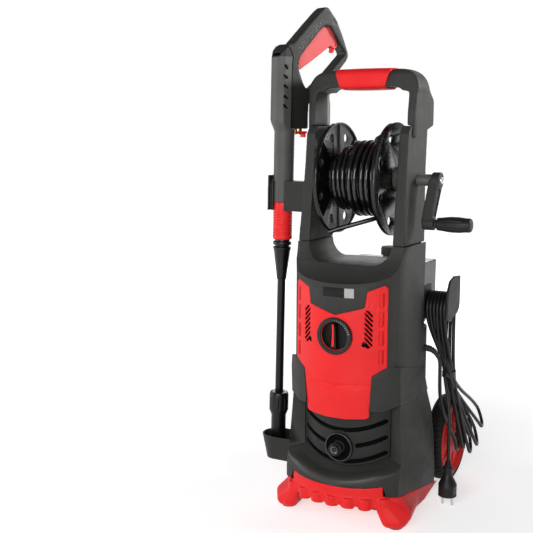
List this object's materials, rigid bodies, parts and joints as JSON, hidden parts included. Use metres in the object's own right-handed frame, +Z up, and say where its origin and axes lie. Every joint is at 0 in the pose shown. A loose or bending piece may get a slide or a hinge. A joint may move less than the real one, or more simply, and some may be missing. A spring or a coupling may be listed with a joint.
{
  "type": "pressure washer",
  "caption": "Upright electric pressure washer with hose reel and crank, trigger gun and lance in a side clip, transport wheels, rear detergent tank, cord hook and hanging mains lead.",
  "frame": {"origin": "middle of the base at the level of the floor; the base's underside is 4 mm above it", "axes": "+Z up, +X towards the crank and the mains lead, -Y towards the front with the red panel"},
  "size_m": [0.425, 0.442, 0.9783],
  "materials": {
    "black_case": "fine grained moulding",
    "black_trim": "satin",
    "black_reel": "semi gloss",
    "grey_trim": "satin",
    "red_plastic": "semi gloss",
    "tank_plastic": "translucent blow moulding",
    "black_tube": "powder coat",
    "rubber": "matt",
    "hose": "glossy",
    "tyre": "matt",
    "steel": "turned",
    "motor_iron": "laminated",
    "pump_alloy": "die cast",
    "brass": "turned"
  },
  "bodies": {
    "case": {"base_tray": "red_plastic", "foot_pads": "rubber", "front_housing": "black_case", "rear_housing": "black_case", "front_panel": "red_plastic", "badge_plate": "black_trim", "knob_bezel": "black_trim", "lower_grille": "black_case", "water_inlet": "black_case", "inlet_filter": "steel", "left_column": "black_case", "right_column": "black_case", "handle_bow": "black_case", "handle_grip": "red_plastic", "wheel_axle": "steel", "axle_caps": "black_case", "detergent_tank": "tank_plastic", "cord_hook": "black_case", "gun_bracket": "black_case", "lance_cup": "black_case", "motor_stator": "motor_iron", "pump_body": "pump_alloy", "pump_head": "brass", "pressure_pipe": "steel", "power_switch": "black_trim", "cord_gland": "rubber", "cord_tube": "rubber", "cord_hank": "rubber", "plug_body": "black_trim", "plug_pins": "steel", "screws": "steel"},
    "wheel_left": {"left_tyre": "tyre", "left_wheel": "red_plastic"},
    "wheel_right": {"right_tyre": "tyre", "right_wheel": "red_plastic"},
    "reel": {"reel_drum": "black_reel", "left_flange": "black_reel", "right_flange": "black_reel", "reel_axle": "grey_trim", "hose_winding": "hose", "hose_end": "black_trim", "crank_arm": "black_trim", "crank_bolt": "steel"},
    "crank_handle": {"crank_grip": "black_trim"},
    "knob": {"power_knob": "black_trim", "knob_pointer": "red_plastic"},
    "gun": {"gun_shell_left": "black_trim", "gun_shell_right": "black_trim", "barrel_cover": "grey_trim", "trigger_pin": "steel", "gun_valve": "brass", "lance_sleeve": "red_plastic", "lance_collar": "black_trim", "lance_tube": "black_tube"},
    "gun_trigger": {"trigger": "red_plastic"},
    "latch": {"safety_latch": "red_plastic"},
    "nozzle": {"nozzle_head": "black_trim"},
    "clip": {"hose_clip": "red_plastic"},
    "cap": {"tank_cap": "black_case"},
    "rotor": {"motor_rotor": "steel"}
  },
  "joints": [
    {"name": "wheel_left_spin", "type": "hinge", "parent": "case", "child": "wheel_left", "pos_m": [0, 0.115, 0.09], "axis": [1, 0, 0], "continuous": true},
    {"name": "wheel_right_spin", "type": "hinge", "parent": "case", "child": "wheel_right", "pos_m": [0, 0.115, 0.09], "axis": [1, 0, 0], "continuous": true},
    {"name": "reel_spin", "type": "hinge", "parent": "case", "child": "reel", "pos_m": [0, -0.085, 0.645], "axis": [1, 0, 0], "continuous": true},
    {"name": "crank_handle_spin", "type": "hinge", "parent": "reel", "child": "crank_handle", "pos_m": [0.18, -0.1076, 0.56618], "axis": [1, 0, 0], "continuous": true},
    {"name": "knob_turn", "type": "hinge", "parent": "case", "child": "knob", "pos_m": [0, -0.22, 0.361], "axis": [0, 1, 0], "range_deg": [0, 90]},
    {"name": "gun_lift", "type": "slide", "parent": "case", "child": "gun", "axis": [0.0209, 0, 0.9998], "range_m": [0, 0.05]},
    {"name": "trigger_pull", "type": "hinge", "parent": "gun", "child": "gun_trigger", "pos_m": [-0.15045, -0.09927, 0.86566], "axis": [0.9133, -0.4067, -0.0191], "range_deg": [0, 6], "stiffness_Nm_per_rad": 0.4, "springref_deg": -8.59},
    {"name": "latch_turn", "type": "hinge", "parent": "gun_trigger", "child": "latch", "pos_m": [-0.1104, -0.01111, 0.90382], "axis": [0.9133, -0.4067, -0.0191], "range_deg": [0, 60]},
    {"name": "nozzle_turn", "type": "hinge", "parent": "gun", "child": "nozzle", "pos_m": [-0.17395, -0.118, 0.14199], "axis": [0.0209, 0, 0.9998], "range_deg": [0, 90]},
    {"name": "clip_pull", "type": "slide", "parent": "gun", "child": "clip", "axis": [0.4066, 0.9135, -0.0085], "range_m": [0, 0.005]},
    {"name": "cap_turn", "type": "hinge", "parent": "case", "child": "cap", "pos_m": [-0.003, 0.06, 0.48], "axis": [0, 0, 1], "range_deg": [0, 360]},
    {"name": "rotor_spin", "type": "hinge", "parent": "case", "child": "rotor", "pos_m": [0, -0.084, 0.2], "axis": [0, 0, 1], "continuous": true}
  ]
}
